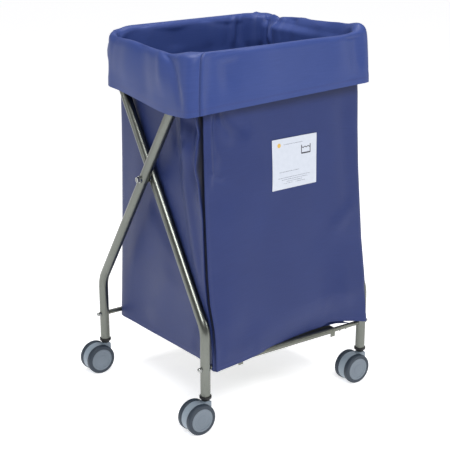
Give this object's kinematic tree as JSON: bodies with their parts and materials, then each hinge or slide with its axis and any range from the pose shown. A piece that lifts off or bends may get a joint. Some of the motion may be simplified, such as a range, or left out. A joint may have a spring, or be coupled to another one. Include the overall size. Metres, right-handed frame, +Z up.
{
  "type": "folding laundry cart",
  "caption": "Folding cross-frame laundry cart of bent steel tube with a deep fabric bag, a turned-over cuff, a bag shelf and twin-wheel swivel casters.",
  "frame": {"origin": "on the floor, midway between the four legs and straight below the pivot axis", "axes": "+Z up, +X to the right seen from the labelled front, front faces -Y; the pivot axis lies along X"},
  "size_m": [0.6234, 0.502, 0.9432],
  "materials": {
    "tube_steel": "satin plated tube",
    "bar_steel": "satin plated bar",
    "shelf_steel": "satin plated sheet",
    "fastener_steel": "bright zinc",
    "bag_fabric": "coated woven fabric",
    "label_card": "printed film",
    "black_plastic": "moulded",
    "hood_plastic": "moulded",
    "disc_plastic": "moulded",
    "tyre_rubber": "moulded tread"
  },
  "bodies": {
    "bag": {"pivot_bolts": "fastener_steel", "pivot_nuts": "fastener_steel", "pivot_spacers": "black_plastic", "bag_front_panel": "bag_fabric", "bag_rear_panel": "bag_fabric", "bag_left_panel": "bag_fabric", "bag_right_panel": "bag_fabric", "bag_floor": "bag_fabric", "cuff_front": "bag_fabric", "cuff_rear": "bag_fabric", "cuff_left": "bag_fabric", "cuff_right": "bag_fabric", "label": "label_card"},
    "front_legs": {"front_leg_frame": "tube_steel", "front_crossbar": "bar_steel", "front_crossbar_nuts": "fastener_steel", "shelf_stop_pins": "fastener_steel", "pivot_saddle_right": "fastener_steel", "caster_socket_fl": "black_plastic", "caster_socket_fr": "black_plastic"},
    "rear_legs": {"rear_leg_frame": "tube_steel", "rear_crossbar": "bar_steel", "rear_crossbar_nuts": "fastener_steel", "pivot_saddle_left": "fastener_steel", "caster_socket_rl": "black_plastic", "caster_socket_rr": "black_plastic"},
    "shelf": {"shelf": "shelf_steel"},
    "swivel_fl": {"caster_stem_fl": "fastener_steel", "caster_hood_fl": "hood_plastic", "caster_axle_fl": "fastener_steel"},
    "wheel_front_fl": {"wheel_disc_front_fl": "disc_plastic", "tyre_front_fl": "tyre_rubber"},
    "wheel_rear_fl": {"wheel_disc_rear_fl": "disc_plastic", "tyre_rear_fl": "tyre_rubber"},
    "swivel_fr": {"caster_stem_fr": "fastener_steel", "caster_hood_fr": "hood_plastic", "caster_axle_fr": "fastener_steel"},
    "wheel_front_fr": {"wheel_disc_front_fr": "disc_plastic", "tyre_front_fr": "tyre_rubber"},
    "wheel_rear_fr": {"wheel_disc_rear_fr": "disc_plastic", "tyre_rear_fr": "tyre_rubber"},
    "swivel_rl": {"caster_stem_rl": "fastener_steel", "caster_hood_rl": "hood_plastic", "caster_axle_rl": "fastener_steel"},
    "wheel_front_rl": {"wheel_disc_front_rl": "disc_plastic", "tyre_front_rl": "tyre_rubber"},
    "wheel_rear_rl": {"wheel_disc_rear_rl": "disc_plastic", "tyre_rear_rl": "tyre_rubber"},
    "swivel_rr": {"caster_stem_rr": "fastener_steel", "caster_hood_rr": "hood_plastic", "caster_axle_rr": "fastener_steel"},
    "wheel_front_rr": {"wheel_disc_front_rr": "disc_plastic", "tyre_front_rr": "tyre_rubber"},
    "wheel_rear_rr": {"wheel_disc_rear_rr": "disc_plastic", "tyre_rear_rr": "tyre_rubber"}
  },
  "joints": [
    {"name": "front_fold", "type": "hinge", "parent": "bag", "child": "front_legs", "pos_m": [0, 0, 0.6], "axis": [1, 0, 0], "range_deg": [0, 15], "deforming": ["bag_front_panel", "bag_rear_panel", "bag_left_panel", "bag_right_panel", "bag_floor", "cuff_front", "cuff_rear", "cuff_left", "cuff_right", "label"]},
    {"name": "rear_fold", "type": "hinge", "parent": "bag", "child": "rear_legs", "pos_m": [0, 0, 0.6], "axis": [1, 0, 0], "range_deg": [-15, 0]},
    {"name": "shelf_lift", "type": "hinge", "parent": "front_legs", "child": "shelf", "pos_m": [0.01375, -0.2245, 0.164], "axis": [1, 0, 0], "range_deg": [0, 60]},
    {"name": "swivel_fl", "type": "hinge", "parent": "front_legs", "child": "swivel_fl", "pos_m": [-0.23925, -0.2245, 0.079], "axis": [0, 0, 1], "continuous": true},
    {"name": "spin_front_fl", "type": "hinge", "parent": "swivel_fl", "child": "wheel_front_fl", "pos_m": [-0.26585, -0.2245, 0.04], "axis": [0, 1, 0], "continuous": true},
    {"name": "spin_rear_fl", "type": "hinge", "parent": "swivel_fl", "child": "wheel_rear_fl", "pos_m": [-0.26585, -0.2245, 0.04], "axis": [0, 1, 0], "continuous": true},
    {"name": "swivel_fr", "type": "hinge", "parent": "front_legs", "child": "swivel_fr", "pos_m": [0.26675, -0.2245, 0.079], "axis": [0, 0, 1], "continuous": true},
    {"name": "spin_front_fr", "type": "hinge", "parent": "swivel_fr", "child": "wheel_front_fr", "pos_m": [0.24015, -0.2245, 0.04], "axis": [0, 1, 0], "continuous": true},
    {"name": "spin_rear_fr", "type": "hinge", "parent": "swivel_fr", "child": "wheel_rear_fr", "pos_m": [0.24015, -0.2245, 0.04], "axis": [0, 1, 0], "continuous": true},
    {"name": "swivel_rl", "type": "hinge", "parent": "rear_legs", "child": "swivel_rl", "pos_m": [-0.26675, 0.2245, 0.079], "axis": [0, 0, 1], "continuous": true},
    {"name": "spin_front_rl", "type": "hinge", "parent": "swivel_rl", "child": "wheel_front_rl", "pos_m": [-0.29335, 0.2245, 0.04], "axis": [0, 1, 0], "continuous": true},
    {"name": "spin_rear_rl", "type": "hinge", "parent": "swivel_rl", "child": "wheel_rear_rl", "pos_m": [-0.29335, 0.2245, 0.04], "axis": [0, 1, 0], "continuous": true},
    {"name": "swivel_rr", "type": "hinge", "parent": "rear_legs", "child": "swivel_rr", "pos_m": [0.23925, 0.2245, 0.079], "axis": [0, 0, 1], "continuous": true},
    {"name": "spin_front_rr", "type": "hinge", "parent": "swivel_rr", "child": "wheel_front_rr", "pos_m": [0.21265, 0.2245, 0.04], "axis": [0, 1, 0], "continuous": true},
    {"name": "spin_rear_rr", "type": "hinge", "parent": "swivel_rr", "child": "wheel_rear_rr", "pos_m": [0.21265, 0.2245, 0.04], "axis": [0, 1, 0], "continuous": true}
  ],
  "couplings": [
    {"joint": "rear_fold", "follows": "front_fold", "ratio": -1},
    {"joint": "shelf_lift", "follows": "front_fold", "ratio": 4}
  ]
}
